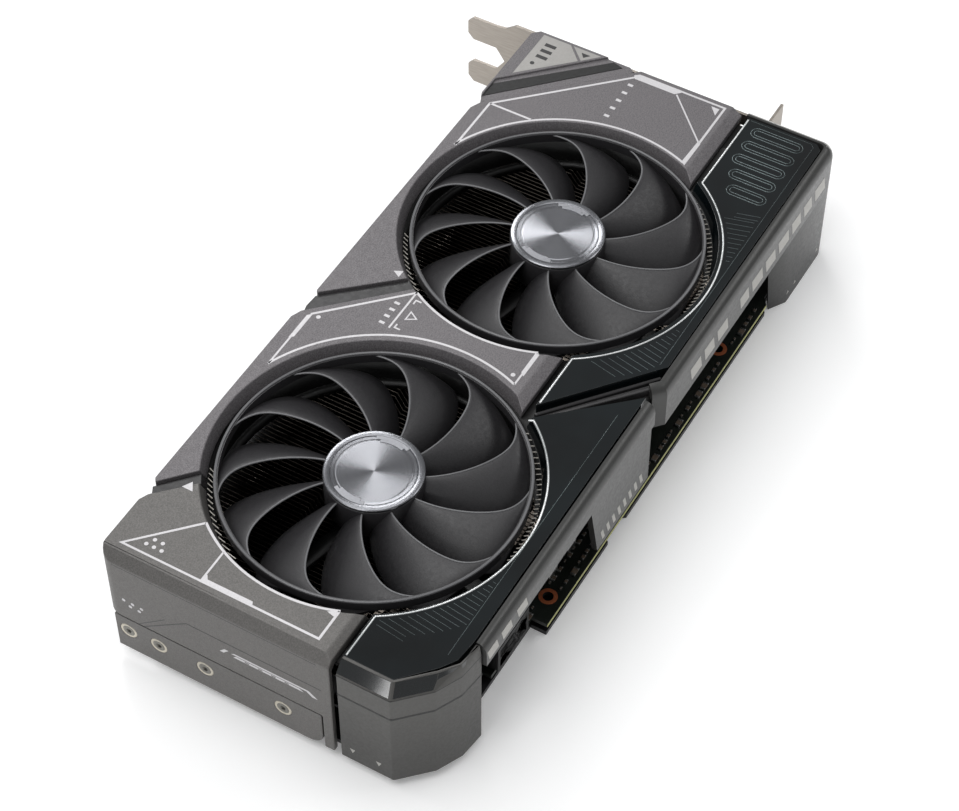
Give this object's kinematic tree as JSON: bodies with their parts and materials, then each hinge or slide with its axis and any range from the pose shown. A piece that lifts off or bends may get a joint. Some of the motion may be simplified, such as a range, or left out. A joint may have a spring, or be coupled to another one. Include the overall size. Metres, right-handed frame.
{
  "type": "graphics card",
  "caption": "Long graphics card with a faceted gunmetal and smoked-gloss shroud, axial fans with ringed blades, side rails, a black board, a back plate and a slot bracket.",
  "frame": {"origin": "middle of the card's box, on the plane of the back plate's outside that it lies on", "axes": "+X from the slot bracket to the far end, +Y from the bus connector to the side with the power socket, +Z out of the fan face"},
  "size_m": [0.2798, 0.1468, 0.0504],
  "materials": {
    "gunmetal_panel": "fine speckled satin gunmetal coat",
    "smoked_panel": "smoked, polished plastic with fine engraved lines",
    "side_rail": "satin warm grey coat",
    "dark_trim": "dark satin moulded plastic",
    "inner_plastic": "black moulded plastic",
    "fan_blade": "satin dark grey moulded plastic",
    "spun_cap": "spun, radially brushed disc with a polished rim",
    "magnet": "bonded ferrite",
    "motor_steel": "ground steel",
    "winding": "lacquered copper winding on laminations",
    "fin": "thin aluminium sheet with a black coat",
    "copper": "copper, dull",
    "board": "black solder mask",
    "chip": "moulded chip package",
    "socket": "black moulded nylon",
    "back_plate": "black coated aluminium sheet",
    "nickel_sheet": "satin nickel plate",
    "port_shell": "nickel plated shell",
    "screw": "zinc plated steel"
  },
  "bodies": {
    "card": {"back_screw_1": "screw", "back_screw_2": "screw", "back_screw_3": "screw", "back_screw_4": "screw", "backplate": "back_plate", "circuit_board": "board", "cold_plate": "copper", "corner_block": "gunmetal_panel", "display_port_1": "port_shell", "display_port_2": "port_shell", "display_port_3": "port_shell", "end_corner_block": "side_rail", "end_plate": "gunmetal_panel", "end_screw_1": "screw", "end_screw_2": "screw", "end_screw_3": "screw", "end_screw_4": "screw", "fan_bearing_1": "motor_steel", "fan_bearing_2": "motor_steel", "fan_carrier_1": "inner_plastic", "fan_carrier_2": "inner_plastic", "fan_stator_1": "winding", "fan_stator_2": "winding", "fin_stack": "fin", "gloss_panel_bracket": "smoked_panel", "gloss_panel_end": "smoked_panel", "gpu_package": "board", "hdmi_port": "port_shell", "heat_pipe_1": "copper", "heat_pipe_2": "copper", "heat_pipe_3": "copper", "heat_pipe_4": "copper", "memory_1": "chip", "memory_2": "chip", "memory_3": "chip", "memory_4": "chip", "memory_5": "chip", "memory_6": "chip", "panel_bracket": "gunmetal_panel", "panel_end": "gunmetal_panel", "panel_middle": "gunmetal_panel", "power_socket": "socket", "shroud_frame": "inner_plastic", "side_rail_bracket": "side_rail", "side_rail_end": "side_rail", "slot_bracket": "nickel_sheet", "trim_end": "dark_trim", "trim_middle": "dark_trim"},
    "fan_1": {"fan_rotor_1": "fan_blade", "fan_cap_1": "spun_cap", "fan_magnet_1": "magnet", "fan_shaft_1": "motor_steel"},
    "fan_2": {"fan_rotor_2": "fan_blade", "fan_cap_2": "spun_cap", "fan_magnet_2": "magnet", "fan_shaft_2": "motor_steel"}
  },
  "joints": [
    {"name": "fan_1_spin", "type": "hinge", "parent": "card", "child": "fan_1", "pos_m": [-0.0393, 0.0122, 0.05], "axis": [0, 0, 1], "continuous": true},
    {"name": "fan_2_spin", "type": "hinge", "parent": "card", "child": "fan_2", "pos_m": [0.0743, 0.0122, 0.05], "axis": [0, 0, 1], "continuous": true}
  ]
}
